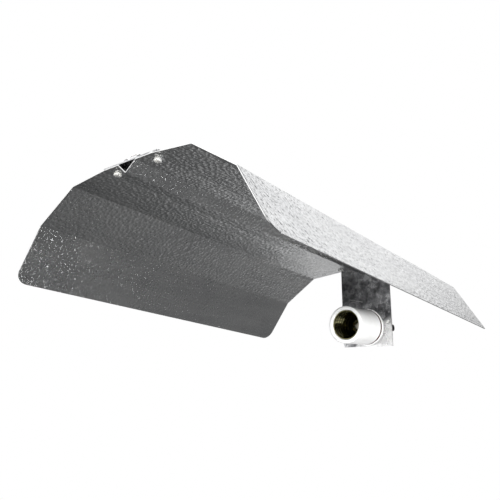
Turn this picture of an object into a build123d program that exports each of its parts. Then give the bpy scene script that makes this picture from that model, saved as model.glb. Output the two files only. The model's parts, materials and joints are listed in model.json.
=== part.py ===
from build123d import *
import math
import os

os.makedirs("parts", exist_ok=True)

# ---------------------------------------------------------------- driving dimensions (mm)
# Frame: X runs along the reflector (lampholder at +X), Y across the wings, Z up.
# z = 0 is the middle of the sheet's flat top panels, at the reflector's centre.
LENGTH = 470.0            # reflector length, also its width before folding
SHEET_T = 0.8             # sheet thickness over the embossing
BEND_R = 0.8              # inside radius of the scored bends
CORNER_R = 15.0           # rounded sheet corners
SHARP_R = 2.5             # the one corner that is nearly square
# half profiles of the sheet's middle surface, (y, z), from the central V to the wing edge:
# the V is a little wider and shallower at the bracket, and the wings hang a little lower there
FRONT_PROFILE = [(0.0, -11.1), (13.6, 0.0), (36.8, 0.0), (90.6, -5.5), (145.7, -40.3), (184.8, -100.9)]
REAR_PROFILE = [(0.0, -8.5), (15.1, 0.0), (37.9, 0.0), (91.3, -6.1), (144.4, -43.9), (183.9, -104.4)]

BAR_L = 84.0              # hanging bar and lamp bracket, measured across the V
BAR_W = 22.0              # bracket flange
FRONT_BAR_W = 32.0        # front bar, reaching further in over the V
OFF_Y = -3.0              # bar, bracket and lampholder sit a little to one side
STEEL_T = 1.5
FIX_X = 222.0             # fixing screws, from the centre
FIX_Y = 31.0
M4_HOLE_R = 2.2
M4_R = 1.95

PLATE_DROP = 123.0        # length of the bracket's hanging plate
PLATE_LEAN = 5.0          # degrees, foot of the plate leaning outward
PLATE_X = 237.0           # middle of the plate's thickness at the bend

EAR_Y = 9.0               # inner face of the bail ears
EAR_T = 1.5
EAR_R = 3.2
PIVOT_X = 228.0
PIVOT_H = 3.0             # pivot height above the bar
WIRE_R = 1.0
BAIL_Y = 7.2              # half width of the wire loop, centreline
BAIL_H = 5.6              # loop height above its pivot, centreline
PIVOT_CLEAR = 0.06

HOLDER_DOWN = 93.0        # lampholder axis, measured down the plate from the bend
BODY_R = 27.5
BASE_H = 5.0
BASE_R = 28.8
BASE_FLANGE = 3.0          # the base's wide part; a step of BOSS_R stands on it
BOSS_R = 26.0
GASKET_T = 2.0
GASKET_R = 27.4
BODY_END = 67.0
MOUTH_R = 22.4
LIP_SEAT_R = 22.1
LIP_SEAT = 0.8
CAVITY_R = 20.9
WEB_FRONT = 21.0
WEB_BACK = 14.0
REAR_CAVITY_R = 17.6
SHELL_T = 0.5
THREAD_CREST_R = 18.2
THREAD_ROOT_R = 20.05
THREAD_PITCH = 6.35
SHELL_END = 63.0
CONTACT_TRAVEL = 2.5

Z_TOP = SHEET_T / 2                      # top of the flat panels
Z_BAR = Z_TOP + STEEL_T                  # top of the bar and of the bracket flange
PIVOT_Z = Z_BAR + PIVOT_H


# ---------------------------------------------------------------- helpers
def offset_points(points, d):
    """Mitred parallel of an open polyline, d to its left."""
    out = []
    for i, p in enumerate(points):
        dirs = []
        if i > 0:
            q = points[i - 1]
            n = math.hypot(p[0] - q[0], p[1] - q[1])
            dirs.append(((p[0] - q[0]) / n, (p[1] - q[1]) / n))
        if i < len(points) - 1:
            q = points[i + 1]
            n = math.hypot(q[0] - p[0], q[1] - p[1])
            dirs.append(((q[0] - p[0]) / n, (q[1] - p[1]) / n))
        normals = [(-v, u) for u, v in dirs]
        if len(normals) == 1:
            nx, ny = normals[0]
            k = 1.0
        else:
            nx = normals[0][0] + normals[1][0]
            ny = normals[0][1] + normals[1][1]
            m = math.hypot(nx, ny)
            nx, ny = nx / m, ny / m
            k = 1.0 / (nx * normals[0][0] + ny * normals[0][1])
        out.append((p[0] + nx * d * k, p[1] + ny * d * k))
    return out


def pan_screws(name, planes, head_r, head_h, shank_r, shank_l, slot=1.0):
    """Slotted pan-head screws: each plane lies under the head, its normal out of the head."""
    with BuildPart() as screws:
        for p in planes:
            with BuildSketch(p):
                Circle(head_r)
            extrude(amount=head_h)
            rim = screws.faces(Select.LAST).sort_by(Axis(p.origin, p.z_dir))[-1].edges()
            fillet(rim, radius=head_h * 0.55)
            with BuildSketch(p):
                Circle(shank_r)
            extrude(amount=-shank_l)
            tip = screws.faces(Select.LAST).sort_by(Axis(p.origin, p.z_dir))[0].edges()
            chamfer(tip, length=0.4)
            with BuildSketch(p.offset(head_h)):
                Rectangle(2.4 * head_r, slot)
            extrude(amount=-head_h * 0.42, mode=Mode.SUBTRACT)
    screws.part.label = name
    return screws.part


def washers(name, planes, r_in, r_out, t):
    with BuildPart() as rings:
        for p in planes:
            with BuildSketch(p):
                Circle(r_out)
                Circle(r_in, mode=Mode.SUBTRACT)
            extrude(amount=t)
    rings.part.label = name
    return rings.part


def nuts(name, planes, flats, hole_r, t):
    with BuildPart() as hexes:
        for p in planes:
            with BuildSketch(p):
                RegularPolygon(radius=flats / 2, side_count=6, major_radius=False)
            extrude(amount=t)
        for p in planes:
            with BuildSketch(p):
                Circle(hole_r)
            extrude(amount=t, mode=Mode.SUBTRACT)
    hexes.part.label = name
    return hexes.part


def save(part):
    export_step(part, "parts/" + part.label + ".step")
    return part


# ---------------------------------------------------------------- 1. folded reflector sheet
sections = []
for x, half in ((-LENGTH / 2, FRONT_PROFILE), (LENGTH / 2, REAR_PROFILE)):
    profile = [(-y, z) for y, z in reversed(half[1:])] + half          # wing edge to wing edge
    upper = offset_points(profile, SHEET_T / 2)
    lower = offset_points(profile, -SHEET_T / 2)
    with BuildSketch(Plane.YZ.offset(x)) as section:
        with BuildLine():
            Polyline(*upper, *reversed(lower), close=True)
        make_face()
        # every bend gets a concentric pair of radii; which side is the inside follows the turn
        for k in range(1, len(profile) - 1):
            ax, az = profile[k - 1]
            bx, bz = profile[k]
            cx, cz = profile[k + 1]
            turn = (bx - ax) * (cz - bz) - (bz - az) * (cx - bx)
            r_up, r_low = (BEND_R, BEND_R + SHEET_T) if turn > 0 else (BEND_R + SHEET_T, BEND_R)
            for pt, r in ((upper[k], r_up), (lower[k], r_low)):
                corner = sorted(section.vertices(), key=lambda v: math.hypot(v.X - pt[0], v.Y - pt[1]))[0]
                fillet(corner, radius=r)
    sections.append(section.sketch.face())

with BuildPart() as reflector_sheet:
    loft(sections=sections, ruled=True)
    # sheet corners, rounded through the thickness of the outer panels
    for sx, half in ((-1, FRONT_PROFILE), (1, REAR_PROFILE)):
        for sy in (-1, 1):
            r = SHARP_R if sx > 0 and sy < 0 else CORNER_R
            inward = Vector(0, sy * (half[-2][0] - half[-1][0]), half[-2][1] - half[-1][1]).normalized()
            tip = Vector(sx * LENGTH / 2, sy * half[-1][0], half[-1][1])
            x_dir = Vector(sx, 0, 0)
            centre = tip - x_dir * r + inward * r
            with BuildSketch(Plane(origin=centre, x_dir=x_dir, z_dir=x_dir.cross(-inward))):
                with Locations(((r + 4) / 2, (r + 4) / 2)):
                    Rectangle(r + 4, r + 4)
                Circle(r, mode=Mode.SUBTRACT)
            extrude(amount=6.0, both=True, mode=Mode.SUBTRACT)
    with Locations(*[(sx * FIX_X, sy * FIX_Y, 3.0) for sx in (-1, 1) for sy in (-1, 1)]):
        Hole(radius=M4_HOLE_R, depth=8.0)
reflector_sheet.part.label = "reflector_sheet"
save(reflector_sheet.part)


# ---------------------------------------------------------------- 2. front hanging bar
with BuildPart() as front_hanging_bar:
    with BuildSketch(Plane.XY.offset(Z_TOP)) as strip:
        with Locations((-LENGTH / 2 + FRONT_BAR_W / 2, OFF_Y)):
            Rectangle(FRONT_BAR_W, BAR_L)
        fillet(strip.vertices(), radius=2.5)
    extrude(amount=STEEL_T)
    with Locations(*[(-FIX_X, sy * FIX_Y, Z_BAR) for sy in (-1, 1)]):
        Hole(radius=M4_HOLE_R, depth=STEEL_T)
    # two ears welded on, standing either side of the bail
    for sy in (-1, 1):
        ear_plane = Plane(origin=(-1 * PIVOT_X, EAR_Y if sy > 0 else -(EAR_Y + EAR_T), PIVOT_Z), x_dir=(-1, 0, 0), z_dir=(0, 1, 0))
        with BuildSketch(ear_plane):
            Circle(EAR_R)
            with Locations((0, -(PIVOT_H + 0.5) / 2)):
                Rectangle(2 * EAR_R, PIVOT_H + 0.5)
        extrude(amount=EAR_T)
        with BuildSketch(ear_plane):
            Circle(WIRE_R + PIVOT_CLEAR)
        extrude(amount=EAR_T, mode=Mode.SUBTRACT)
front_hanging_bar.part.label = "front_hanging_bar"
save(front_hanging_bar.part)

# ---------------------------------------------------------------- 3. lamp bracket
lean = math.radians(PLATE_LEAN)
down = (math.sin(lean), -math.cos(lean))                 # along the plate, in (x, z)
axis_out = (-math.cos(lean), 0.0, -math.sin(lean))       # out of the plate's lamp side
bend = (PLATE_X, Z_TOP + STEEL_T / 2)
foot = (bend[0] + PLATE_DROP * down[0], bend[1] + PLATE_DROP * down[1])
side = [(LENGTH / 2 - BAR_W, bend[1]), bend, foot]
side_up = offset_points(side, STEEL_T / 2)
side_low = offset_points(side, -STEEL_T / 2)

mid = (bend[0] + HOLDER_DOWN * down[0], bend[1] + HOLDER_DOWN * down[1])
O = Vector(mid[0] + axis_out[0] * STEEL_T / 2, OFF_Y, mid[1] + axis_out[2] * STEEL_T / 2)
# holder plane: normal = lampholder axis, local x = +Y, local y = down the plate
HP = Plane(origin=O, x_dir=(0, 1, 0), z_dir=axis_out)
# revolve plane: local x = +Y (radius), local y = along the lampholder axis
RP = Plane(origin=O, x_dir=(0, 1, 0), z_dir=(-math.sin(lean), 0, math.cos(lean)))
HAXIS = Axis(O, axis_out)

MOUNT_U = 13.0            # holder mounting screws, either side of the axis
JOIN_V = 22.0             # screws joining base and body, above and below the axis
CLIP_V0, CLIP_S = 2.5, -STEEL_T - 5.0
CLIP_SCREW_V = -6.6
CLIP_Y0, CLIP_LEN = -30.0, 11.0
CLIP_SCREW_Y = CLIP_Y0 - CLIP_LEN / 2
CORD_R = 3.5
GROMMET_R = 6.5

with BuildPart() as lamp_bracket:
    # profile drawn on the XZ plane seen from -Y, then made as wide as the bar
    with BuildSketch(Plane(origin=(0, OFF_Y + BAR_L / 2, 0), x_dir=(1, 0, 0), z_dir=(0, -1, 0))) as ell:
        with BuildLine():
            Polyline(*side_up, *reversed(side_low), close=True)
        make_face()
        for pt, r in ((side_up[1], 1.0 + STEEL_T), (side_low[1], 1.0)):
            corner = sorted(ell.vertices(), key=lambda v: math.hypot(v.X - pt[0], v.Y - pt[1]))[0]
            fillet(corner, radius=r)
    extrude(amount=BAR_L)
    with Locations(*[(FIX_X, sy * FIX_Y, Z_BAR) for sy in (-1, 1)]):
        Hole(radius=M4_HOLE_R, depth=STEEL_T)
    # two ears welded on, standing either side of the bail
    for sy in (-1, 1):
        ear_plane = Plane(origin=(1 * PIVOT_X, EAR_Y if sy > 0 else -(EAR_Y + EAR_T), PIVOT_Z), x_dir=(-1, 0, 0), z_dir=(0, 1, 0))
        with BuildSketch(ear_plane):
            Circle(EAR_R)
            with Locations((0, -(PIVOT_H + 0.5) / 2)):
                Rectangle(2 * EAR_R, PIVOT_H + 0.5)
        extrude(amount=EAR_T)
        with BuildSketch(ear_plane):
            Circle(WIRE_R + PIVOT_CLEAR)
        extrude(amount=EAR_T, mode=Mode.SUBTRACT)
    # wire hole, holder screw holes and cord clip hole in the plate
    with BuildSketch(HP):
        Circle(GROMMET_R)
        with Locations((MOUNT_U, 0), (-MOUNT_U, 0), (CLIP_SCREW_Y, CLIP_SCREW_V)):
            Circle(M4_HOLE_R)
    extrude(amount=-STEEL_T, mode=Mode.SUBTRACT)
    # flange and foot corners
    for x, z in ((LENGTH / 2 - BAR_W, bend[1]), foot):
        for sy in (-1, 1):
            at = Vector(x, OFF_Y + sy * BAR_L / 2, z)
            edge = sorted(lamp_bracket.edges(), key=lambda e: (e.center() - at).length)[0]
            fillet(edge, radius=2.0 if z > 0 else 1.0)
lamp_bracket.part.label = "lamp_bracket"
save(lamp_bracket.part)

# ---------------------------------------------------------------- 4. fixing screws through the sheet
for end, sx in (("front_bar", -1), ("rear_bracket", 1)):
    spots = [(sx * FIX_X, sy * FIX_Y) for sy in (-1, 1)]
    below = [Plane(origin=(x, y, -Z_TOP), x_dir=(math.cos(0.7 * k + 0.5), math.sin(0.7 * k + 0.5), 0), z_dir=(0, 0, -1)) for k, (x, y) in enumerate(spots)]
    save(pan_screws(end + "_screws", below, 4.1, 2.4, M4_R, Z_BAR + Z_TOP + 6.2))
    save(washers(end + "_washers", [Plane(origin=(x, y, Z_BAR), z_dir=(0, 0, 1)) for x, y in spots], 2.15, 4.5, 0.8))
    save(nuts(end + "_nuts", [Plane(origin=(x, y, Z_BAR + 0.8), x_dir=(math.cos(0.4 * k), math.sin(0.4 * k), 0), z_dir=(0, 0, 1)) for k, (x, y) in enumerate(spots)], 7.0, 2.02, 3.2))

# ---------------------------------------------------------------- 5. wire bails
for name, sx in (("front_hanging_bail", -1), ("rear_hanging_bail", 1)):
    with BuildPart() as bail:
        with BuildLine() as route:
            FilletPolyline(
                (sx * PIVOT_X, EAR_Y + EAR_T + 1.6, PIVOT_Z),
                (sx * PIVOT_X, BAIL_Y, PIVOT_Z),
                (sx * PIVOT_X, BAIL_Y, PIVOT_Z + BAIL_H),
                (sx * PIVOT_X, -BAIL_Y, PIVOT_Z + BAIL_H),
                (sx * PIVOT_X, -BAIL_Y, PIVOT_Z),
                (sx * PIVOT_X, -(EAR_Y + EAR_T + 1.6), PIVOT_Z),
                radius=[1.5, 3.2, 3.2, 1.5],
            )
        with BuildSketch(Plane(origin=route.line @ 0, z_dir=route.line % 0)):
            Circle(WIRE_R)
        sweep()
    bail.part.label = name
    save(bail.part)

# ---------------------------------------------------------------- 6. lampholder porcelain
with BuildPart() as lampholder_base:
    with BuildSketch(HP):
        Circle(BASE_R)
    extrude(amount=BASE_FLANGE)
    rims = [e for e in lampholder_base.edges() if e.geom_type == GeomType.CIRCLE]
    fillet(rims, radius=0.8)
    with BuildSketch(HP.offset(BASE_FLANGE)):
        Circle(BOSS_R)
    extrude(amount=BASE_H - BASE_FLANGE)
    with BuildSketch(HP):                       # pocket for the grommet's flange
        Circle(9.5)
    extrude(amount=2.0, mode=Mode.SUBTRACT)
    with BuildSketch(HP):
        Circle(5.0)
        with Locations((MOUNT_U, 0), (-MOUNT_U, 0)):
            Circle(M4_HOLE_R)
        with Locations((0, JOIN_V), (0, -JOIN_V)):
            Circle(2.0)
    extrude(amount=BASE_H, mode=Mode.SUBTRACT)
    with BuildSketch(HP.offset(3.0)):           # counterbores for the mounting screw heads
        with Locations((MOUNT_U, 0), (-MOUNT_U, 0)):
            Circle(3.9)
    extrude(amount=BASE_H - 3.0, mode=Mode.SUBTRACT)
    with BuildSketch(HP):                       # counterbores for the joining screw heads
        with Locations((0, JOIN_V), (0, -JOIN_V)):
            Circle(3.6)
    extrude(amount=2.4, mode=Mode.SUBTRACT)
lampholder_base.part.label = "lampholder_base"
save(lampholder_base.part)

with BuildPart() as base_gasket:
    with BuildSketch(HP.offset(BASE_H)):
        Circle(GASKET_R)
        Circle(REAR_CAVITY_R, mode=Mode.SUBTRACT)
        with Locations((0, JOIN_V), (0, -JOIN_V)):
            Circle(2.1, mode=Mode.SUBTRACT)
    extrude(amount=GASKET_T)
    with BuildSketch(HP.offset(BASE_FLANGE)):      # lip round the base's step
        Circle(GASKET_R)
        Circle(BOSS_R + 0.15, mode=Mode.SUBTRACT)
    extrude(amount=BASE_H - BASE_FLANGE)
base_gasket.part.label = "base_gasket"
save(base_gasket.part)

S0 = BASE_H + GASKET_T


def rims_at(solid, radius, s):
    """Circular edges of this radius, s along the lampholder axis."""
    return [e for e in solid.edges().filter_by(GeomType.CIRCLE) if abs(e.radius - radius) < 0.01 and abs((e.arc_center - O).dot(Vector(*axis_out)) - s) < 0.01]


with BuildPart() as lampholder_body:
    with BuildSketch(RP):
        with BuildLine():
            Polyline((REAR_CAVITY_R, S0), (BODY_R, S0), (BODY_R, BODY_END), (MOUTH_R, BODY_END), (MOUTH_R, SHELL_END + LIP_SEAT), (LIP_SEAT_R, SHELL_END + LIP_SEAT), (LIP_SEAT_R, SHELL_END), (CAVITY_R, SHELL_END), (CAVITY_R, WEB_FRONT), (REAR_CAVITY_R, WEB_FRONT), close=True)
        make_face()
    revolve(axis=HAXIS)
    fillet(rims_at(lampholder_body, BODY_R, S0), radius=0.5)
    fillet(rims_at(lampholder_body, BODY_R, BODY_END), radius=2.4)
    fillet(rims_at(lampholder_body, MOUTH_R, BODY_END), radius=1.0)
    with BuildSketch(HP.offset(S0)):            # joining screw holes and their nut pockets
        with Locations((0, JOIN_V), (0, -JOIN_V)):
            Circle(1.9)
    extrude(amount=11.0, mode=Mode.SUBTRACT)
    with BuildSketch(HP.offset(S0)):
        with Locations((0, JOIN_V), (0, -JOIN_V)):
            Rectangle(6.3, 6.3)
    extrude(amount=3.2, mode=Mode.SUBTRACT)
lampholder_body.part.label = "lampholder_body"
save(lampholder_body.part)

with BuildPart() as contact_carrier:             # porcelain disc behind the shell
    with BuildSketch(HP.offset(WEB_BACK)):
        Circle(REAR_CAVITY_R - 0.1)
        Circle(4.6, mode=Mode.SUBTRACT)
        with Locations((9.4, 4.3), (9.4, -4.3)):
            Circle(1.6, mode=Mode.SUBTRACT)
    extrude(amount=WEB_FRONT - WEB_BACK)
    fillet(rims_at(contact_carrier, REAR_CAVITY_R - 0.1, WEB_BACK), radius=0.8)
contact_carrier.part.label = "contact_carrier"
save(contact_carrier.part)

# ---------------------------------------------------------------- 7. screw shell and its rivets
def thread_r(s):
    mean = (THREAD_CREST_R + THREAD_ROOT_R) / 2
    amp = (THREAD_ROOT_R - THREAD_CREST_R) / 2
    return mean + amp * math.cos(2 * math.pi * (SHELL_END - 0.5 - s) / THREAD_PITCH)


shell_low, shell_high = WEB_FRONT + 0.6, SHELL_END - 0.5
steps = 52
wave = [shell_low + (shell_high - shell_low) * i / steps for i in range(steps + 1)]
with BuildPart() as screw_shell:
    with BuildSketch(RP):
        with BuildLine():
            inner = Spline(*[(thread_r(s), s) for s in wave])
            outer = Spline(*[(thread_r(s) + SHELL_T, s) for s in wave])
            Polyline(inner @ 1, (THREAD_ROOT_R, SHELL_END + 0.5), (LIP_SEAT_R - 0.15, SHELL_END + 0.5), (LIP_SEAT_R - 0.15, SHELL_END), (THREAD_ROOT_R + SHELL_T, SHELL_END), outer @ 1)
            Polyline(outer @ 0, (THREAD_CREST_R + SHELL_T, WEB_FRONT), (6.6, WEB_FRONT), (6.6, WEB_FRONT + 0.6), inner @ 0)
        make_face()
    revolve(axis=HAXIS)
    with BuildSketch(HP.offset(WEB_FRONT)):
        with Locations((9.4, 4.3), (9.4, -4.3)):
            Circle(1.6)
    extrude(amount=0.6, mode=Mode.SUBTRACT)
screw_shell.part.label = "screw_shell"
save(screw_shell.part)

with BuildPart() as shell_rivets:
    for v in (4.3, -4.3):
        spot = HP.offset(WEB_FRONT + 0.6)
        rivet_front = Plane(origin=spot.from_local_coords((9.4, v, 0)), x_dir=HP.x_dir, z_dir=HP.z_dir)
        with BuildSketch(rivet_front):
            Circle(2.5)
        extrude(amount=1.1)
        fillet(shell_rivets.faces(Select.LAST).sort_by(HAXIS)[-1].edges(), radius=0.6)
        with BuildSketch(rivet_front):
            Circle(1.5)
        extrude(amount=-(WEB_FRONT + 0.6 - WEB_BACK + 1.2 + 0.1))
        with BuildSketch(rivet_front.offset(-(WEB_FRONT + 0.6 - WEB_BACK + 1.2))):
            Circle(2.1)
        extrude(amount=-0.8)
shell_rivets.part.label = "shell_rivets"
save(shell_rivets.part)

# ---------------------------------------------------------------- 8. terminals
with BuildPart() as neutral_terminal:
    with BuildSketch(HP.offset(WEB_BACK - 1.2)):
        with Locations((9.2, 0)):
            Rectangle(6.0, 13.2)
        with Locations((9.4, 4.3), (9.4, -4.3)):
            Circle(1.55, mode=Mode.SUBTRACT)
    extrude(amount=1.2)
    with BuildSketch(HP.offset(WEB_BACK - 1.2)):
        with Locations((9.2, 0)):
            Rectangle(6.0, 4.0)
    extrude(amount=-4.6)
    with BuildSketch(HP.offset(WEB_BACK - 5.8)):
        with Locations((9.2, 0)):
            Circle(1.25)
    extrude(amount=2.6, mode=Mode.SUBTRACT)
neutral_terminal.part.label = "neutral_terminal"
save(neutral_terminal.part)

with BuildPart() as live_terminal:
    with BuildSketch(HP.offset(WEB_BACK - 1.2)):
        with Locations((-4.2, 0)):
            Rectangle(16.4, 7.2)
        Circle(5.6)
    extrude(amount=1.2)
    with BuildSketch(HP.offset(WEB_BACK - 1.2)):
        Circle(2.06)
    extrude(amount=1.2, mode=Mode.SUBTRACT)
    with BuildSketch(HP.offset(WEB_BACK - 1.2)):
        with Locations((-9.6, 0)):
            Rectangle(5.6, 7.2)
    extrude(amount=-4.6)
    with BuildSketch(HP.offset(WEB_BACK - 5.8)):
        with Locations((-9.6, 0)):
            Circle(1.25)
    extrude(amount=2.6, mode=Mode.SUBTRACT)
live_terminal.part.label = "live_terminal"
save(live_terminal.part)

with BuildPart() as terminal_screws:
    for u in (9.2, -9.6):
        at = HP.offset(WEB_BACK - 5.8).from_local_coords((u, 0, 0))
        p = Plane(origin=at, x_dir=HP.x_dir, z_dir=HP.z_dir)
        with BuildSketch(p):
            Circle(1.2)
        extrude(amount=2.4)
        with BuildSketch(p):
            Circle(1.2)
        extrude(amount=-0.6)
terminal_screws.part.label = "terminal_screws"
save(terminal_screws.part)

# ---------------------------------------------------------------- 9. sprung centre contact
CONTACT_S = 26.0
with BuildPart() as centre_contact:
    with BuildSketch(HP.offset(CONTACT_S)):
        Circle(5.4)
    extrude(amount=2.6)
    fillet(centre_contact.faces().sort_by(HAXIS)[-1].edges(), radius=1.6)
    with BuildSketch(HP.offset(CONTACT_S)):
        Circle(2.0)
    extrude(amount=-(CONTACT_S - 10.6))
    with BuildSketch(HP.offset(WEB_BACK - 1.2 - 0.7)):     # groove for the retaining ring
        Circle(2.4)
        Circle(1.5, mode=Mode.SUBTRACT)
    extrude(amount=0.6, mode=Mode.SUBTRACT)
centre_contact.part.label = "centre_contact"
save(centre_contact.part)

with BuildPart() as contact_ring:
    with BuildSketch(HP.offset(WEB_BACK - 1.2 - 0.65)):
        Circle(3.4)
        Circle(1.55, mode=Mode.SUBTRACT)
        with Locations((0, 2.6)):
            Rectangle(2.0, 3.0, mode=Mode.SUBTRACT)
    extrude(amount=0.5)
contact_ring.part.label = "contact_ring"
save(contact_ring.part)

SPRING_LOW, SPRING_HIGH, SPRING_WIRE = WEB_BACK, CONTACT_S, 0.42
with BuildPart() as contact_spring:
    with BuildLine() as coil:
        Helix(pitch=(SPRING_HIGH - SPRING_LOW - 2 * SPRING_WIRE - 0.1) / 5.0, height=SPRING_HIGH - SPRING_LOW - 2 * SPRING_WIRE - 0.1, radius=3.3, center=HP.offset(SPRING_LOW + SPRING_WIRE + 0.05).origin, direction=axis_out)
    with BuildSketch(Plane(origin=coil.line @ 0, z_dir=coil.line % 0)):
        Circle(SPRING_WIRE)
    sweep(is_frenet=True)
contact_spring.part.label = "contact_spring"
save(contact_spring.part)

# ---------------------------------------------------------------- 10. screws that join base and body
join_planes = [Plane(origin=HP.offset(2.3).from_local_coords((0, v, 0)), x_dir=HP.x_dir, z_dir=-HP.z_dir) for v in (JOIN_V, -JOIN_V)]
save(pan_screws("body_screws", join_planes, 3.2, 2.0, 1.7, 13.2))
with BuildPart() as body_nuts:
    with BuildSketch(HP.offset(S0 + 0.3)):
        with Locations((0, JOIN_V), (0, -JOIN_V)):
            Rectangle(6.0, 6.0)
        with Locations((0, JOIN_V), (0, -JOIN_V)):
            Circle(1.76, mode=Mode.SUBTRACT)
    extrude(amount=2.6)
body_nuts.part.label = "body_nuts"
save(body_nuts.part)

# ---------------------------------------------------------------- 11. screws that hold the lampholder to the plate
hold_planes = [Plane(origin=HP.offset(3.0).from_local_coords((u, 0, 0)), x_dir=HP.x_dir, z_dir=HP.z_dir) for u in (MOUNT_U, -MOUNT_U)]
save(pan_screws("holder_screws", hold_planes, 3.5, 2.2, M4_R, 3.0 + STEEL_T + 5.6))
back = [Plane(origin=HP.offset(-STEEL_T).from_local_coords((u, 0, 0)), x_dir=HP.x_dir, z_dir=-HP.z_dir) for u in (MOUNT_U, -MOUNT_U)]
save(washers("holder_lock_washers", back, 2.1, 3.8, 0.9))
save(nuts("holder_nuts", [p.offset(0.9) for p in back], 7.0, 2.02, 3.2))

# ---------------------------------------------------------------- 12. grommet for the wires
with BuildPart() as wire_grommet:
    with BuildSketch(RP):
        with BuildLine():
            Polyline((4.0, -3.2), (8.2, -3.2), (8.2, -STEEL_T), (GROMMET_R, -STEEL_T), (GROMMET_R, 0), (8.2, 0), (8.2, 1.6), (4.0, 1.6), close=True)
        make_face()
    revolve(axis=HAXIS)
wire_grommet.part.label = "wire_grommet"
save(wire_grommet.part)

# ---------------------------------------------------------------- 13. earth stud behind the plate
EARTH_U, EARTH_V = 28.0, -18.0
earth = Plane(origin=HP.offset(-STEEL_T).from_local_coords((EARTH_U, EARTH_V, 0)), x_dir=HP.x_dir, z_dir=-HP.z_dir)
with BuildPart() as earth_stud:
    with BuildSketch(earth):
        Circle(3.4)
    extrude(amount=0.9)
    with BuildSketch(earth):
        Circle(M4_R)
    extrude(amount=11.0)
    chamfer(earth_stud.faces().sort_by(Axis(earth.origin, earth.z_dir))[-1].edges(), length=0.4)
earth_stud.part.label = "earth_stud"
save(earth_stud.part)
save(washers("earth_washer", [earth.offset(0.9)], 2.1, 4.4, 0.8))
save(nuts("earth_nut", [earth.offset(1.7)], 7.0, 2.02, 3.2))

# ---------------------------------------------------------------- 14. cord clip behind the plate's edge
# local x runs down the plate, local y along the lampholder axis
CLIP = Plane(origin=O + Vector(0, CLIP_Y0, 0), x_dir=HP.y_dir, z_dir=(0, -1, 0))
flip = 1.0 if CLIP.y_dir.dot(HP.z_dir) > 0 else -1.0
with BuildPart() as cord_clip:
    with BuildSketch(CLIP):
        with Locations((CLIP_V0, flip * CLIP_S)):
            Circle(5.0)
        with Locations(((CLIP_V0 - 11.4) / 2, flip * (-STEEL_T - 1.3))):
            Rectangle(CLIP_V0 + 11.4, 2.6)
        with Locations((CLIP_V0, flip * CLIP_S)):
            Circle(CORD_R, mode=Mode.SUBTRACT)
    extrude(amount=CLIP_LEN)
    with BuildSketch(HP.offset(-STEEL_T)):
        with Locations((CLIP_SCREW_Y, CLIP_SCREW_V)):
            Circle(M4_HOLE_R)
    extrude(amount=-2.6, mode=Mode.SUBTRACT)
cord_clip.part.label = "cord_clip"
save(cord_clip.part)
clip_front = Plane(origin=HP.from_local_coords((CLIP_SCREW_Y, CLIP_SCREW_V, 0)), x_dir=HP.x_dir, z_dir=HP.z_dir)
save(pan_screws("cord_clip_screw", [clip_front], 3.4, 2.0, M4_R, STEEL_T + 2.6 + 4.6))
save(nuts("cord_clip_nut", [Plane(origin=HP.offset(-STEEL_T - 2.6).from_local_coords((CLIP_SCREW_Y, CLIP_SCREW_V, 0)), x_dir=HP.x_dir, z_dir=-HP.z_dir)], 7.0, 2.02, 3.2))

print("holder origin", O, "axis", axis_out, "pivot z", PIVOT_Z, "bend", bend, "foot", foot)
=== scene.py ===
import bpy, bmesh, json, math
import numpy as np
from mathutils import Vector, Matrix


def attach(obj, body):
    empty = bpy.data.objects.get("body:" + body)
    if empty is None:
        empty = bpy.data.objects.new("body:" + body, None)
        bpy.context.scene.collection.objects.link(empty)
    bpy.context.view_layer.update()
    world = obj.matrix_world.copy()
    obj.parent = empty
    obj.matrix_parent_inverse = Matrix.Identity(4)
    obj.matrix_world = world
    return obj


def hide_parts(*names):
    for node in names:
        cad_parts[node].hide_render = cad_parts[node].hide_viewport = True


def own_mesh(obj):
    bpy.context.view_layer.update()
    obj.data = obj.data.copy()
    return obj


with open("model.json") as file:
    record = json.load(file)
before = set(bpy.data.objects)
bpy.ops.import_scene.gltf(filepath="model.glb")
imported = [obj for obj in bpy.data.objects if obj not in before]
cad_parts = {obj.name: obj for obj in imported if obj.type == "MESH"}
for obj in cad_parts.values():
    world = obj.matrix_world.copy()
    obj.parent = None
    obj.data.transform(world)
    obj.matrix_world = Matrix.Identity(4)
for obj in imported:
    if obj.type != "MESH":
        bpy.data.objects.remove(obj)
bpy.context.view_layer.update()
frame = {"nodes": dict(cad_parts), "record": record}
nodes = frame["nodes"]
MM = 0.001

# ------------------------------------------------------------------ camera
CAM_POS = Vector((-0.52797, -0.41535, -0.22498))
CAM_DIR = Vector((0.7295946, 0.62457473, 0.27856441))
CAM_UP = Vector((-0.24857008, -0.13728101, 0.95883619))
cam_data = bpy.data.cameras.new("camera")
cam = bpy.data.objects.new("camera", cam_data)
bpy.context.scene.collection.objects.link(cam)
right = CAM_DIR.cross(CAM_UP).normalized()
up = right.cross(CAM_DIR).normalized()
rot = Matrix((right, up, -CAM_DIR)).transposed()
cam.matrix_world = Matrix.Translation(CAM_POS) @ rot.to_4x4()
cam_data.sensor_width = 36.0
cam_data.lens = 39.5437
cam_data.clip_start = 0.02
cam_data.clip_end = 60.0
bpy.context.scene.camera = cam
bpy.context.scene.view_settings.view_transform = "Standard"


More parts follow.
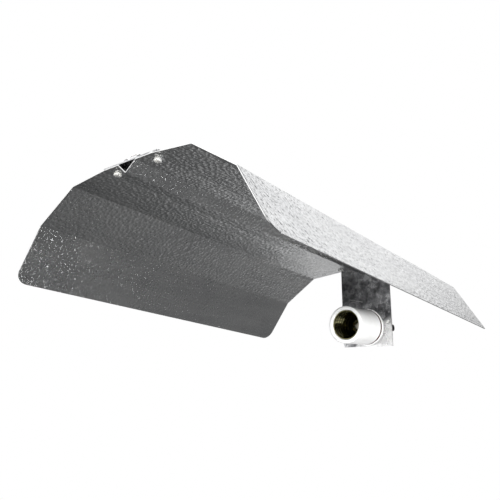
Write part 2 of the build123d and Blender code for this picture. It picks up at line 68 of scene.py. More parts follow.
# ------------------------------------------------------------------ material helpers
class Mat:
    """A Principled material with small helpers for its node tree."""

    def __init__(self, name):
        self.m = bpy.data.materials.new(name)
        self.m.use_nodes = True
        self.t = self.m.node_tree
        self.b = self.t.nodes["Principled BSDF"]
        self.co = None

    def n(self, kind, **props):
        node = self.t.nodes.new(kind)
        for k, v in props.items():
            setattr(node, k, v)
        return node

    def link(self, a, b):
        self.t.links.new(a, b)

    def set(self, **values):
        for k, v in values.items():
            self.b.inputs[k.replace("_", " ")].default_value = v

    def coords(self):
        if self.co is None:
            self.co = self.n("ShaderNodeTexCoord").outputs["Object"]
        return self.co

    def noise(self, scale, detail=4.0, rough=0.55, distortion=0.0, stretch=None, offset=None):
        co = self.coords()
        if stretch or offset:
            mp = self.n("ShaderNodeMapping")
            if stretch:
                mp.inputs["Scale"].default_value = stretch
            if offset:
                mp.inputs["Location"].default_value = offset
            self.link(co, mp.inputs["Vector"])
            co = mp.outputs["Vector"]
        t = self.n("ShaderNodeTexNoise")
        t.inputs["Scale"].default_value = scale
        t.inputs["Detail"].default_value = detail
        t.inputs["Roughness"].default_value = rough
        t.inputs["Distortion"].default_value = distortion
        self.link(co, t.inputs["Vector"])
        return t.outputs["Fac"]

    def voronoi(self, scale, feature="F1", smooth=None, randomness=1.0, vector=None, out="Distance"):
        t = self.n("ShaderNodeTexVoronoi", feature=feature)
        t.inputs["Scale"].default_value = scale
        t.inputs["Randomness"].default_value = randomness
        if smooth is not None and "Smoothness" in t.inputs:
            t.inputs["Smoothness"].default_value = smooth
        self.link(vector or self.coords(), t.inputs["Vector"])
        return t.outputs[out]

    def ramp(self, fac, stops, interp="LINEAR"):
        r = self.n("ShaderNodeValToRGB")
        r.color_ramp.interpolation = interp
        e = r.color_ramp.elements
        while len(e) < len(stops):
            e.new(0.5)
        for el, (pos, col) in zip(e, stops):
            el.position = pos
            el.color = (*col, 1.0) if hasattr(col, "__len__") else (col, col, col, 1.0)
        self.link(fac, r.inputs["Fac"])
        return r.outputs["Color"]

    def math(self, op, a, b=None, c=None, clamp=False):
        m = self.n("ShaderNodeMath", operation=op, use_clamp=clamp)
        for i, v in enumerate((a, b, c)):
            if v is None:
                continue
            if isinstance(v, (int, float)):
                m.inputs[i].default_value = v
            else:
                self.link(v, m.inputs[i])
        return m.outputs[0]

    def remap(self, v, a, b, c, d):
        m = self.n("ShaderNodeMapRange")
        self.link(v, m.inputs["Value"])
        for k, x in zip(("From Min", "From Max", "To Min", "To Max"), (a, b, c, d)):
            m.inputs[k].default_value = x
        return m.outputs["Result"]

    def mix(self, fac, a, b, blend="MIX"):
        m = self.n("ShaderNodeMix", data_type="RGBA", blend_type=blend)
        if isinstance(fac, (int, float)):
            m.inputs[0].default_value = fac
        else:
            self.link(fac, m.inputs[0])
        for i, v in ((6, a), (7, b)):
            if hasattr(v, "is_linked"):
                self.link(v, m.inputs[i])
            else:
                m.inputs[i].default_value = (*v, 1.0) if len(v) == 3 else v
        return m.outputs[2]

    def bump(self, height, distance, strength=1.0, normal=None):
        b = self.n("ShaderNodeBump")
        b.inputs["Strength"].default_value = strength
        b.inputs["Distance"].default_value = distance
        self.link(height, b.inputs["Height"])
        if normal is not None:
            self.link(normal, b.inputs["Normal"])
        return b.outputs["Normal"]

    def to(self, socket, value):
        self.link(value, self.b.inputs[socket])


def aluminium():
    k = Mat("dimpled_aluminium")
    k.set(Metallic=1.0)
    # slow tone changes of the rolled sheet, fine handling marks
    big = k.noise(9.0, 5.0, 0.6)
    fine = k.noise(420.0, 3.0, 0.6)
    streak = k.noise(60.0, 4.0, 0.6, stretch=(0.12, 1.0, 1.0))
    tone = k.math("ADD", k.math("MULTIPLY", big, 0.5), k.math("MULTIPLY", streak, 0.5))
    colour = k.ramp(tone, [(0.30, (0.50, 0.505, 0.515)), (0.50, (0.60, 0.605, 0.61)), (0.72, (0.69, 0.69, 0.69))])
    grime = k.ramp(k.noise(34.0, 6.0, 0.7, offset=(3, 1, 7)), [(0.52, 0.0), (0.70, 1.0)])
    colour = k.mix(k.math("MULTIPLY", grime, 0.25), colour, (0.40, 0.40, 0.41))
    k.to("Base Color", colour)
    k.to("Roughness", k.remap(k.math("ADD", k.math("MULTIPLY", big, 0.6), k.math("MULTIPLY", fine, 0.4)), 0.3, 0.7, 0.22, 0.36))
    # stucco embossing: rounded pits between soft ridges, over a finer grain
    warp = k.n("ShaderNodeVectorMath", operation="ADD")
    wn = k.n("ShaderNodeTexNoise")
    wn.inputs["Scale"].default_value = 170.0
    wn.inputs["Detail"].default_value = 2.0
    k.link(k.coords(), wn.inputs["Vector"])
    ws = k.n("ShaderNodeVectorMath", operation="SCALE")
    k.link(wn.outputs["Color"], ws.inputs[0])
    ws.inputs["Scale"].default_value = 0.0022
    k.link(k.coords(), warp.inputs[0])
    k.link(ws.outputs[0], warp.inputs[1])
    cells = k.voronoi(235.0, "SMOOTH_F1", smooth=0.35, randomness=0.85, vector=warp.outputs[0])
    grain = k.noise(900.0, 3.0, 0.6)
    n1 = k.bump(cells, 0.0011, 0.85)
    n2 = k.bump(grain, 0.00025, 0.55, normal=n1)
    k.to("Normal", n2)
    return k.m


def zinc_steel():
    k = Mat("zinc_steel")
    k.set(Metallic=1.0)
    # spangle: large angular crystals, each with its own tone and gloss, under a mottled bloom
    warp = k.n("ShaderNodeVectorMath", operation="ADD")
    wn = k.n("ShaderNodeTexNoise")
    wn.inputs["Scale"].default_value = 90.0
    wn.inputs["Detail"].default_value = 3.0
    k.link(k.coords(), wn.inputs["Vector"])
    ws = k.n("ShaderNodeVectorMath", operation="SCALE")
    k.link(wn.outputs["Color"], ws.inputs[0])
    ws.inputs["Scale"].default_value = 0.009
    k.link(k.coords(), warp.inputs[0])
    k.link(ws.outputs[0], warp.inputs[1])
    crystal = k.voronoi(105.0, "F1", vector=warp.outputs[0], out="Color")
    sep = k.n("ShaderNodeSeparateColor")
    k.link(crystal, sep.inputs[0])
    facet = sep.outputs[0]
    bloom = k.noise(95.0, 8.0, 0.70, stretch=(1.0, 1.0, 0.75))
    tone = k.math("ADD", k.math("MULTIPLY", facet, 0.12), k.math("MULTIPLY", bloom, 0.88))
    # painted shade: the dark tone over the coating's own mottled bloom; painted light: the pale tone for the foot
    mottled_painted_shade = k.ramp(tone, [(0.36, (0.13, 0.131, 0.136)), (0.46, (0.23, 0.232, 0.24)), (0.54, (0.42, 0.422, 0.43)), (0.63, (0.74, 0.74, 0.75))])
    painted_light_tone = k.ramp(tone, [(0.30, (0.62, 0.62, 0.625)), (0.70, (0.80, 0.80, 0.80))])
    # painted light and shade by height: the coating is painted bright towards the foot of the plate and darker above,
    # over its own cloudy mottling
    xyz = k.n("ShaderNodeSeparateXYZ")
    k.link(k.coords(), xyz.inputs[0])
    level = k.math("ADD", xyz.outputs[2], k.math("MULTIPLY", k.math("SUBTRACT", k.noise(30.0, 4.0, 0.6, offset=(1, 9, 4)), 0.5), 0.016))
    level = k.math("ADD", level, k.math("MULTIPLY", xyz.outputs[1], 0.75))
    foot = k.remap(level, -0.105, -0.117, 0.0, 1.0)
    foot.node.clamp = True
    colour = k.mix(foot, mottled_painted_shade, painted_light_tone)
    # a paler patch under the flange, a painted highlight where the plate bends, and one long scratch
    painted_bend_highlight = k.math("ADD", k.math("MULTIPLY", xyz.outputs[2], 38.0), k.math("MULTIPLY", xyz.outputs[1], 9.0))
    painted_bend_highlight = k.math("ADD", painted_bend_highlight, k.math("MULTIPLY", k.noise(150.0, 4.0, 0.6, offset=(8, 3, 2)), 1.5), clamp=True)
    colour = k.mix(k.math("MULTIPLY", painted_bend_highlight, 0.70), colour, (0.62, 0.62, 0.63))
    line = k.math("ABSOLUTE", k.math("ADD", k.math("SUBTRACT", xyz.outputs[2], k.math("MULTIPLY", xyz.outputs[1], 0.23)), 0.05245))
    mark = k.math("MULTIPLY", k.ramp(k.math("MULTIPLY", line, 1000.0), [(0.25, 1.0), (0.60, 0.0)]),
                  k.math("COMPARE", xyz.outputs[1], 0.0135, 0.0115))
    colour = k.mix(k.math("MULTIPLY", mark, 0.75), colour, (0.82, 0.82, 0.82))
    # a few fine scratches
    scratch = k.ramp(k.noise(46.0, 2.0, 0.5, stretch=(1.0, 0.16, 3.2), offset=(5, 2, 1)), [(0.660, 0.0), (0.680, 1.0)])
    colour = k.mix(k.math("MULTIPLY", scratch, 0.5), colour, (0.80, 0.80, 0.80))
    k.to("Base Color", colour)
    k.to("Metallic", k.remap(foot, 0.0, 1.0, 1.0, 0.85))
    k.to("Roughness", k.remap(tone, 0.25, 0.8, 0.34, 0.20))
    n1 = k.bump(bloom, 0.0007, 0.25)
    n2 = k.bump(k.noise(800.0, 3.0, 0.6), 0.0002, 0.3, normal=n1)
    k.to("Normal", n2)
    return k.m


def plated(name, base, rough=(0.16, 0.34), scale=260.0, tint=None, metallic=1.0, bump=0.00012):
    """Small plated or turned hardware: tone mottling, dull patches, fine grain."""
    k = Mat(name)
    k.set(Metallic=metallic)
    n = k.noise(scale, 5.0, 0.6)
    d = tuple(c * 0.72 for c in base)
    h = tuple(min(1.0, c * 1.10) for c in base)
    colour = k.ramp(n, [(0.30, d), (0.52, base), (0.74, h)])
    if tint is not None:
        patch = k.ramp(k.noise(scale * 0.35, 4.0, 0.6, offset=(2, 5, 3)), [(0.48, 0.0), (0.66, 1.0)])
        colour = k.mix(k.math("MULTIPLY", patch, 0.55), colour, tint)
    k.to("Base Color", colour)
    k.to("Roughness", k.remap(n, 0.3, 0.7, rough[0], rough[1]))
    k.to("Normal", k.bump(k.noise(scale * 6.0, 3.0, 0.6), bump, 0.4))
    return k.m


def porcelain():
    k = Mat("white_porcelain")
    n = k.noise(55.0, 4.0, 0.55)
    colour = k.ramp(n, [(0.30, (0.86, 0.86, 0.85)), (0.55, (0.91, 0.91, 0.905)), (0.75, (0.94, 0.94, 0.94))])
    speck = k.ramp(k.voronoi(420.0, "F1"), [(0.035, 1.0), (0.06, 0.0)])
    colour = k.mix(k.math("MULTIPLY", speck, 0.35), colour, (0.45, 0.40, 0.34))
    k.to("Base Color", colour)
    k.set(Coat_Weight=0.6, Coat_Roughness=0.05)
    k.to("Roughness", k.remap(k.noise(140.0, 3.0, 0.5), 0.3, 0.7, 0.10, 0.22))
    k.to("Normal", k.bump(k.noise(120.0, 3.0, 0.5), 0.0004, 0.25))
    return k.m


def plain(name, dark, light, rough=(0.45, 0.65), scale=180.0, bump=0.0002, bump_scale=1200.0, strength=0.4):
    k = Mat(name)
    n = k.noise(scale, 5.0, 0.6)
    k.to("Base Color", k.ramp(n, [(0.30, dark), (0.70, light)]))
    k.to("Roughness", k.remap(n, 0.3, 0.7, rough[0], rough[1]))
    k.to("Normal", k.bump(k.noise(bump_scale, 4.0, 0.6), bump, strength))
    return k.m


M = {
    "dimpled_aluminium": aluminium(),
    "zinc_steel": zinc_steel(),
    "bright_zinc": plated("bright_zinc", (0.78, 0.78, 0.77), rough=(0.2, 0.36), tint=(0.78, 0.76, 0.68), metallic=0.45),
    "bright_wire": plated("bright_wire", (0.93, 0.91, 0.90), rough=(0.2, 0.36), tint=(0.80, 0.74, 0.73), metallic=0.45),
    "bare_edge": plated("bare_edge", (0.93, 0.93, 0.93), rough=(0.25, 0.4), bump=0.00004),
    "white_porcelain": porcelain(),
    "red_fibre": plain("red_fibre", (0.020, 0.004, 0.004), (0.055, 0.013, 0.010), rough=(0.6, 0.8), scale=500.0),
    "brass_shell": plated("brass_shell", (0.24, 0.225, 0.12), rough=(0.09, 0.17), scale=60.0, tint=(0.14, 0.13, 0.06), bump=0.00003),
    "brass_parts": plated("brass_parts", (0.72, 0.56, 0.28), rough=(0.22, 0.4), tint=(0.45, 0.33, 0.16)),
    "nickelled_brass": plated("nickelled_brass", (0.62, 0.60, 0.53), rough=(0.2, 0.4), tint=(0.42, 0.38, 0.28)),
    "spring_steel": plated("spring_steel", (0.50, 0.50, 0.50), rough=(0.2, 0.36)),
    "black_rubber": plain("black_rubber", (0.012, 0.012, 0.012), (0.03, 0.03, 0.03), rough=(0.6, 0.8)),
    "black_nylon": plain("black_nylon", (0.010, 0.010, 0.011), (0.028, 0.028, 0.03), rough=(0.35, 0.5), strength=0.5),
}

slot_of = {s["node"]: s["material_slot"] for s in frame["record"]["subparts"]}
for name, obj in nodes.items():
    obj.data.materials.clear()
    obj.data.materials.append(M[slot_of[name]])


for name, width in (("front_hanging_bar", 0.3), ("lamp_bracket", 0.3), ("front_bar_nuts", 0.25), ("rear_bracket_nuts", 0.25),
                    ("front_bar_washers", 0.12), ("rear_bracket_washers", 0.12), ("front_bar_screws", 0.15), ("rear_bracket_screws", 0.15),
                    ("cord_clip", 0.4), ("lampholder_base", 0.3), ("base_gasket", 0.2), ("earth_nut", 0.25), ("earth_washer", 0.12)):
    if name in nodes:
        b = nodes[name].modifiers.new("softened", "BEVEL")
        b.width = width * MM
        b.segments = 2
        b.limit_method = "ANGLE"
        b.angle_limit = math.radians(40)
        b.harden_normals = True


def new_object(name, verts, faces, material, smooth=True):
    me = bpy.data.meshes.new(name)
    me.from_pydata([tuple(v) for v in verts], [], [tuple(int(i) for i in f) for f in faces])
    me.update()
    if smooth:
        me.polygons.foreach_set("use_smooth", [True] * len(me.polygons))
    me.materials.append(M[material])
    ob = bpy.data.objects.new(name, me)
    bpy.context.scene.collection.objects.link(ob)
    return ob


# ------------------------------------------------------------------ reflector sheet
T = 0.8
FRONT = [(0.0, -11.1), (13.6, 0.0), (36.8, 0.0), (90.6, -5.5), (145.7, -40.3), (184.8, -100.9)]
REAR = [(0.0, -8.5), (15.1, 0.0), (37.9, 0.0), (91.3, -6.1), (144.4, -43.9), (183.9, -104.4)]
LENGTH = 470.0
STEP = 1.55


def section(half, counts=None, r=1.2, n=5):
    """Middle surface across the sheet: y, z, normal y, normal z and distance along, with a small arc at each bend."""
    pts = [np.array(p, float) for p in [(-y, z) for y, z in reversed(half[1:])] + list(half)]
    ends = [pts[0]]
    arcs = []
    for i in range(1, len(pts) - 1):
        a, b, c = pts[i - 1:i + 2]
        u, v = (a - b) / np.linalg.norm(a - b), (c - b) / np.linalg.norm(c - b)
        half_angle = math.acos(max(-1, min(1, float(u @ v)))) / 2
        cut = r / math.tan(half_angle)
        centre = b + (u + v) / np.linalg.norm(u + v) * (r / math.sin(half_angle))
        p0, p1 = b + u * cut, b + v * cut
        a0 = math.atan2(*(p0 - centre)[::-1])
        a1 = math.atan2(*(p1 - centre)[::-1])
        d = (a1 - a0 + math.pi) % (2 * math.pi) - math.pi
        arcs.append([centre + r * np.array([math.cos(a0 + d * k / (n - 1)), math.sin(a0 + d * k / (n - 1))]) for k in range(n)])
    out, made, start = [], [], pts[0]
    for i in range(len(arcs) + 1):
        stop = arcs[i][0] if i < len(arcs) else pts[-1]
        m = counts[i] if counts else max(2, int(round(np.linalg.norm(stop - start) / STEP)))
        made.append(m)
        t = np.arange(m) / m
        if i == 0:                       # closer rows where the corners are rounded
            t = np.concatenate([np.array([0, 0.35, 0.9, 1.6, 2.5, 3.6, 4.9, 6.4, 8.1, 10.0, 12.1, 14.4]) / np.linalg.norm(stop - start), t[t * np.linalg.norm(stop - start) > 15.4]]) if not counts else ROW_T[0]
            ROW_T.setdefault(0, t)
        if i == len(arcs):
            far = np.linalg.norm(stop - start)
            t = np.concatenate([t[(1 - t) * far > 15.4], 1 - np.array([14.4, 12.1, 10.0, 8.1, 6.4, 4.9, 3.6, 2.5, 1.6, 0.9, 0.35, 0]) / far]) if not counts else ROW_T[1]
            ROW_T.setdefault(1, t)
        out += [start + (stop - start) * k for k in t]
        if i < len(arcs):
            out += arcs[i][:-1]
            start = arcs[i][-1]
    out = np.array(out)
    dist = np.concatenate([[0], np.cumsum(np.linalg.norm(np.diff(out, axis=0), axis=1))])
    tan = np.gradient(out, axis=0)
    tan /= np.linalg.norm(tan, axis=1)[:, None]
    return out[:, 0], out[:, 1], -tan[:, 1], tan[:, 0], dist, made


ROW_T = {}
fy, fz, fny, fnz, fdist, COUNTS = section(FRONT)
ry, rz, rny, rnz, rdist, _ = section(REAR, COUNTS)
rows = fdist
total = rows[-1]
cols = np.linspace(-1, 1, int(LENGTH / STEP) + 1)


def xmax(d, r):
    """Half length at distance d from the wing's edge, for corner radius r."""
    d = np.minimum(d, r)
    return LENGTH / 2 - r + np.sqrt(np.maximum(r * r - (r - d) ** 2, 0))


S, C = len(rows), len(cols)
# near wing is -Y (row 0 side); its +X corner is nearly square
d_low, d_high = rows, total - rows
x_neg = np.minimum(xmax(d_low, 15.0), xmax(d_high, 15.0))
x_pos = np.minimum(xmax(d_low, 2.5), xmax(d_high, 15.0))
half_len = np.where(cols[None, :] < 0, x_neg[:, None], x_pos[:, None])
X = cols[None, :] * half_len
SS = np.repeat(rows[:, None], C, 1)
mixx = X / LENGTH + 0.5
PY = fy[:, None] * (1 - mixx) + ry[:, None] * mixx
PZ = fz[:, None] * (1 - mixx) + rz[:, None] * mixx
NY = fny[:, None] * (1 - mixx) + rny[:, None] * mixx
NZ = fnz[:, None] * (1 - mixx) + rnz[:, None] * mixx


def value_noise(x, y, cell, seed):
    g = np.random.default_rng(seed).random((int(600 / cell) + 4, int(600 / cell) + 4))
    u, v = (x + 300) / cell, (y + 60) / cell
    i, j = np.floor(u).astype(int), np.floor(v).astype(int)
    fu, fv = u - i, v - j
    fu, fv = fu * fu * (3 - 2 * fu), fv * fv * (3 - 2 * fv)
    i, j = np.clip(i, 0, g.shape[0] - 2), np.clip(j, 0, g.shape[1] - 2)
    return (g[i, j] * (1 - fu) + g[i + 1, j] * fu) * (1 - fv) + (g[i, j + 1] * (1 - fu) + g[i + 1, j + 1] * fu) * fv - 0.5


# embossing as geometry: jittered cells, each a shallow rounded pit of its own depth, ridged between them
CELL = 4.6
gx, gy = int(LENGTH / CELL) + 5, int(total / CELL) + 5
jit = np.random.default_rng(11)
cx = (np.arange(gx)[:, None] + jit.random((gx, gy)) * 0.95) * CELL - LENGTH / 2 - 2 * CELL
cy = (np.arange(gy)[None, :] + jit.random((gx, gy)) * 0.95) * CELL - 2 * CELL
depth = 0.6 + 0.6 * jit.random((gx, gy))
ii = np.clip(((X + LENGTH / 2) / CELL + 2).astype(int), 1, gx - 2)
jj = np.clip((SS / CELL + 2).astype(int), 1, gy - 2)
best = np.full(X.shape, 1e9)
best_depth = np.zeros(X.shape)
for di in (-1, 0, 1):
    for dj in (-1, 0, 1):
        a, b = np.clip(ii + di, 0, gx - 1), np.clip(jj + dj, 0, gy - 1)
        dd = np.hypot(X - cx[a, b], SS - cy[a, b])
        near = dd < best
        best_depth = np.where(near, depth[a, b], best_depth)
        best = np.where(near, dd, best)
pits = -np.clip(1 - (best / (0.60 * CELL)) ** 2, 0, 1) * best_depth
wavy = value_noise(X, SS, 38.0, 1) * 1.6 + value_noise(X, SS, 17.0, 2) * 0.7
emboss = pits * 0.08 + 0.04 + wavy * 0.06
# flat where the edges are, so that the sheet keeps its size, and under the fixings
edge = np.minimum(np.minimum(d_low, d_high)[:, None], (half_len - np.abs(X)))
fade = np.clip(edge / 2.5, 0, 1)
for fx in (-222.0, 222.0):
    for fy_ in (-31.0, 31.0):
        rr = np.hypot(X - fx, PY - fy_)
        fade = fade * np.where(np.abs(PY) < 40, np.clip((rr - 4.2) / 3.0, 0, 1), 1.0)
emboss = emboss * fade


def side(sign):
    h = sign * T / 2 + emboss
    return np.stack([X, PY + NY * h, PZ + NZ * h], -1) * MM


top, bottom = side(1), side(-1)
verts = np.concatenate([top.reshape(-1, 3), bottom.reshape(-1, 3)])
idx = np.arange(S * C).reshape(S, C)
off = S * C
q = lambda a, b, c, d: np.stack([a.ravel(), b.ravel(), c.ravel(), d.ravel()], -1)
# rows run from -Y to +Y and columns from -X to +X
f_top = q(idx[:-1, :-1], idx[:-1, 1:], idx[1:, 1:], idx[1:, :-1])
f_bot = q(idx[:-1, :-1], idx[1:, :-1], idx[1:, 1:], idx[:-1, 1:]) + off
e0 = q(idx[0, :-1], idx[0, :-1] + off, idx[0, 1:] + off, idx[0, 1:])
e1 = q(idx[-1, 1:], idx[-1, 1:] + off, idx[-1, :-1] + off, idx[-1, :-1])
e2 = q(idx[1:, 0], idx[1:, 0] + off, idx[:-1, 0] + off, idx[:-1, 0])
e3 = q(idx[:-1, -1], idx[:-1, -1] + off, idx[1:, -1] + off, idx[1:, -1])
faces = np.concatenate([f_top, f_bot, e0, e1, e2, e3])
sheet = new_object("reflector", verts, faces, "dimpled_aluminium")
n_flat = len(e0) + len(e1) + len(e2) + len(e3)
flags = np.ones(len(sheet.data.polygons), bool)
flags[len(f_top) + len(f_bot):] = False
sheet.data.polygons.foreach_set("use_smooth", flags.tolist())
sheet.data.materials.append(M["bare_edge"])
sheet.data.polygons.foreach_set("material_index", (~flags).astype(int).tolist())
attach(sheet, "root")
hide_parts("reflector_sheet")

# ------------------------------------------------------------------ screw shell with its helical thread
lean = math.radians(5.0)
A = Vector((-math.cos(lean), 0, -math.sin(lean)))      # lampholder axis, out of its mouth
U = Vector((0, 1, 0))
V = A.cross(U)                                          # down the plate
O = Vector((244.358, -3.0, -91.5615)) * MM


def at(s, r, t):
    return O + A * (s * MM) + (U * math.cos(t) + V * math.sin(t)) * (r * MM)


def helical_shell():
    """Rolled thread: the wave climbs one pitch a turn and dies out at both ends."""
    around, pitch, s0, s1 = 96, 6.35, 21.6, 62.5
    n = 104
    r_mid, amp, wall = 19.125, 0.925, 0.5
    verts, faces = [], []
    for layer, extra in ((0, 0.0), (1, wall)):
        for i in range(n + 1):
            s = s0 + (s1 - s0) * i / n
            env = min(1.0, (s - s0) / 3.0, (s1 - s) / 2.5)
            env = env * env * (3 - 2 * env)
            for k in range(around):
                t = 2 * math.pi * k / around
                phase = 2 * math.pi * (s / pitch) - t
                w = math.cos(phase)
                w = w * (1.25 - 0.25 * w * w)          # rounder, fuller flanks
                r = r_mid + 0.55 * (1 - env) * amp + amp * env * w * 0.98
                verts.append(at(s, r + extra, t))
    m = (n + 1) * around
    for i in range(n):
        for k in range(around):
            a, b = i * around + k, i * around + (k + 1) % around
            c, d = (i + 1) * around + (k + 1) % around, (i + 1) * around + k
            faces.append((a, b, c, d))
            faces.append((m + a, m + d, m + c, m + b))
    # rolled lip at the mouth and the flange at the bottom
    r_end = r_mid + 0.55 * amp
    lip = [(62.75, r_end + 0.02), (63.1, r_end + 0.15), (63.45, r_end + 0.45), (63.5, r_end + 0.9), (63.38, 21.90), (63.1, 21.95), (62.98, 21.8), (62.9, r_end + 1.3), (62.6, r_end + wall + 0.1)]
    ring_prev = [n * around + k for k in range(around)]
    for j, (s, r) in enumerate(lip[:-1]):
        base = len(verts)
        for k in range(around):
            verts.append(at(s, r, 2 * math.pi * k / around))
        ring = [base + k for k in range(around)]
        for k in range(around):
            k2 = (k + 1) % around
            faces.append((ring_prev[k], ring_prev[k2], ring[k2], ring[k]))
        ring_prev = ring
    last = [m + n * around + k for k in range(around)]
    for k in range(around):
        k2 = (k + 1) % around
        faces.append((ring_prev[k], ring_prev[k2], last[k2], last[k]))
    # bottom flange: inner ring down to the centre hole and back to the outside
    r_start = r_mid + 0.55 * amp
    foot = [(21.35, r_start - 0.3), (21.55, r_start - 0.9), (21.6, 12.0), (21.6, 6.7), (21.05, 6.7), (21.05, 12.0), (21.05, r_start), (21.2, r_start + 0.35)]
    ring_prev = list(range(around))
    for s, r in foot:
        base = len(verts)
        for k in range(around):
            verts.append(at(s, r, 2 * math.pi * k / around))
        ring = [base + k for k in range(around)]
        for k in range(around):
            k2 = (k + 1) % around
            faces.append((ring_prev[k2], ring_prev[k], ring[k], ring[k2]))
        ring_prev = ring
    for k in range(around):
        k2 = (k + 1) % around
        faces.append((ring_prev[k2], ring_prev[k], m + k, m + k2))
    ob = new_object("screw_shell_threaded", verts, faces, "brass_shell")
    bm = bmesh.new()
    bm.from_mesh(ob.data)
    bmesh.ops.recalc_face_normals(bm, faces=bm.faces)
    bm.to_mesh(ob.data)
    bm.free()
    return ob


shell = helical_shell()
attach(shell, "root")
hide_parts("screw_shell")

# ------------------------------------------------------------------ coil spring behind the centre contact
def coil_spring(low, high, radius=3.3, wire=0.40, active=5.0):
    """Round wire coil with a closed turn at each end, between the web and the contact."""
    first, last = low + wire + 0.06, high - wire - 0.06
    dead = 2 * wire * 1.04
    turns, per_turn, ring = active + 2.0, 30, 10
    n = int(turns * per_turn)
    path = []
    for i in range(n + 1):
        k = turns * i / n
        if k < 1:
            s = first + dead * k
        elif k > turns - 1:
            s = last - dead * (turns - k)
        else:
            s = first + dead + (last - first - 2 * dead) * (k - 1) / active
        path.append(at(s, radius, 2 * math.pi * k))
    verts, faces = [], []
    for i, p in enumerate(path):
        t = (path[min(i + 1, n)] - path[max(i - 1, 0)]).normalized()
        u = t.cross(A).normalized()
        w = t.cross(u)
        for k in range(ring):
            a = 2 * math.pi * k / ring
            verts.append(p + (u * math.cos(a) + w * math.sin(a)) * (wire * MM))
    for i in range(n):
        for k in range(ring):
            k2 = (k + 1) % ring
            faces.append((i * ring + k, i * ring + k2, (i + 1) * ring + k2, (i + 1) * ring + k))
    faces.append(tuple(reversed(range(ring))))
    faces.append(tuple(n * ring + k for k in range(ring)))
    ob = new_object("contact_coil", verts, faces, "spring_steel")
    b = bmesh.new()
    b.from_mesh(ob.data)
    bmesh.ops.recalc_face_normals(b, faces=b.faces)
    b.to_mesh(ob.data)
    b.free()
    return ob


SPRING_LOW, SPRING_HIGH, TRAVEL = 14.0, 26.0, 2.5
coil = coil_spring(SPRING_LOW, SPRING_HIGH)
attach(coil, "root")
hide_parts("contact_spring")
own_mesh(coil)

# ------------------------------------------------------------------ floor, light
bm = bmesh.new()
R, rings, spokes = 4.0, 24, 64
centre = bm.verts.new((0, 0, 0))
prev = None
for i in range(1, rings + 1):
    r = R * i / rings
    ring = [bm.verts.new((r * math.cos(2 * math.pi * k / spokes), r * math.sin(2 * math.pi * k / spokes), 0)) for k in range(spokes)]
    for k in range(spokes):
        k2 = (k + 1) % spokes
        bm.faces.new((centre, ring[k], ring[k2]) if prev is None else (prev[k], ring[k], ring[k2], prev[k2]))
    prev = ring
me = bpy.data.meshes.new("floor")
bm.to_mesh(me)
bm.free()
floor = bpy.data.objects.new("floor", me)
bpy.context.scene.collection.objects.link(floor)
floor.location = (0, 0, -1.15)
fm = Mat("floor")
fm.to("Base Color", fm.ramp(fm.noise(1.5, 3.0), [(0.3, 0.26), (0.7, 0.30)]))
fm.set(Roughness=0.9, Emission_Strength=0.74)
fm.b.inputs["Emission Color"].default_value = (1, 1, 1, 1)
floor.data.materials.append(fm.m)
floor.visible_glossy = False
floor.visible_diffuse = False

world = bpy.data.worlds.new("studio")
bpy.context.scene.world = world
world.use_nodes = True
wt = world.node_tree
for n in list(wt.nodes):
    wt.nodes.remove(n)
out = wt.nodes.new("ShaderNodeOutputWorld")
tc = wt.nodes.new("ShaderNodeTexCoord")


def wmath(op, a, b=None, clamp=False):
    m = wt.nodes.new("ShaderNodeMath")
    m.operation = op
    m.use_clamp = clamp
    for i, v in enumerate((a, b)):
        if v is None:
            continue
        if isinstance(v, (int, float)):
            m.inputs[i].default_value = v
        else:
            wt.links.new(v, m.inputs[i])
    return m.outputs[0]


def lobe(direction, inner, outer, amount):
    """Soft round panel of light: full within inner degrees of direction, gone at outer."""
    d = Vector(direction).normalized()
    dot = wt.nodes.new("ShaderNodeVectorMath")
    dot.operation = "DOT_PRODUCT"
    wt.links.new(tc.outputs["Generated"], dot.inputs[0])
    dot.inputs[1].default_value = d
    mr = wt.nodes.new("ShaderNodeMapRange")
    mr.interpolation_type = "SMOOTHSTEP"
    wt.links.new(dot.outputs["Value"], mr.inputs["Value"])
    mr.inputs["From Min"].default_value = math.cos(math.radians(outer))
    mr.inputs["From Max"].default_value = math.cos(math.radians(inner))
    mr.inputs["To Min"].default_value = 0.0
    mr.inputs["To Max"].default_value = amount
    return mr.outputs["Result"]


def ramp_along(direction, low, high, v_low, v_high):
    """Even change of light from v_low to v_high as the direction's component goes from low to high."""
    d = Vector(direction).normalized()
    dot = wt.nodes.new("ShaderNodeVectorMath")
    dot.operation = "DOT_PRODUCT"
    wt.links.new(tc.outputs["Generated"], dot.inputs[0])
    dot.inputs[1].default_value = d
    mr = wt.nodes.new("ShaderNodeMapRange")
    mr.interpolation_type = "SMOOTHSTEP"
    wt.links.new(dot.outputs["Value"], mr.inputs["Value"])
    for key, v in zip(("From Min", "From Max", "To Min", "To Max"), (low, high, v_low, v_high)):
        mr.inputs[key].default_value = v
    return mr.outputs["Result"]


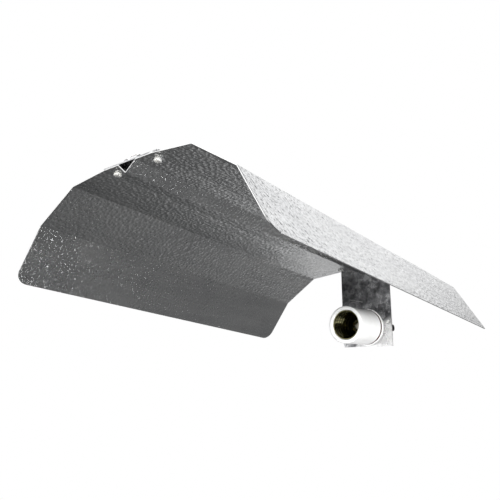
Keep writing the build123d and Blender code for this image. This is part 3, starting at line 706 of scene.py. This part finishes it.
value = ramp_along((1, 0, 0), -0.35, 0.25, 0.05, 0.150)
for spec in (
    ((0.775, 0.055, 0.63), 4, 29, 1.36),     # large soft panel, high on the lampholder side
    ((0.85, 0.44, -0.29), 5, 25, 0.68),      # low glow behind the lampholder
    ((-0.3, 0.2, 1.0), 20, 60, 0.50),        # ceiling
    ((0.0, 1.0, 0.55), 10, 40, 0.65),        # soft panels either side of the wings
    ((0.0, -1.0, 0.55), 10, 40, 0.65),
    ((0.71, -0.33, -0.62), 10, 40, 0.045),    # faint lift from below
    ((-0.70, 0.62, 0.34), 4, 20, 1.6),       # small panels that the cut edges and the hardware catch
    ((-0.80, -0.45, 0.38), 6, 24, 2.2),
    ((-0.516, -0.535, -0.669), 1.5, 6.5, 5.0),
    ((-0.50, -0.68, -0.53), 1.5, 6.5, 5.0),
    ((-0.449, -0.844, -0.292), 1.5, 6.5, 5.0),
    ((-0.88, 0.44, -0.17), 6, 17, 2.2),      # low strip on the plate's side
):
    value = wmath("ADD", lobe(*spec), value)
bg = wt.nodes.new("ShaderNodeBackground")
bg.inputs["Color"].default_value = (1, 1, 1, 1)
wt.links.new(value, bg.inputs["Strength"])
white = wt.nodes.new("ShaderNodeBackground")
white.inputs["Color"].default_value = (1, 1, 1, 1)
white.inputs["Strength"].default_value = 1.0
lp = wt.nodes.new("ShaderNodeLightPath")
mixs = wt.nodes.new("ShaderNodeMixShader")
wt.links.new(lp.outputs["Is Camera Ray"], mixs.inputs[0])
wt.links.new(bg.outputs[0], mixs.inputs[1])
wt.links.new(white.outputs[0], mixs.inputs[2])
wt.links.new(mixs.outputs[0], out.inputs["Surface"])


def area(name, pos, target, size, energy, glossy=True, diffuse=True):
    ld = bpy.data.lights.new(name, "AREA")
    ld.shape = "DISK"
    ld.size = size
    ld.energy = energy
    lo = bpy.data.objects.new(name, ld)
    bpy.context.scene.collection.objects.link(lo)
    lo.location = pos
    lo.rotation_mode = "QUATERNION"
    lo.rotation_quaternion = (Vector(target) - Vector(pos)).to_track_quat("-Z", "Y")
    lo.visible_camera = False
    lo.visible_glossy = glossy
    lo.visible_diffuse = diffuse
    return lo


area("front_fill", (-1.3, -1.2, 0.1), (0.1, 0, -0.05), 1.0, 92.0, glossy=False)
area("low_fill", (-0.75, -1.40, -0.60), (0.2, 0, -0.08), 0.9, 34.0, glossy=False)
area("low_spark", (0.0, -0.60, -1.0), (-0.2, 0.15, -0.07), 0.07, 0.30)
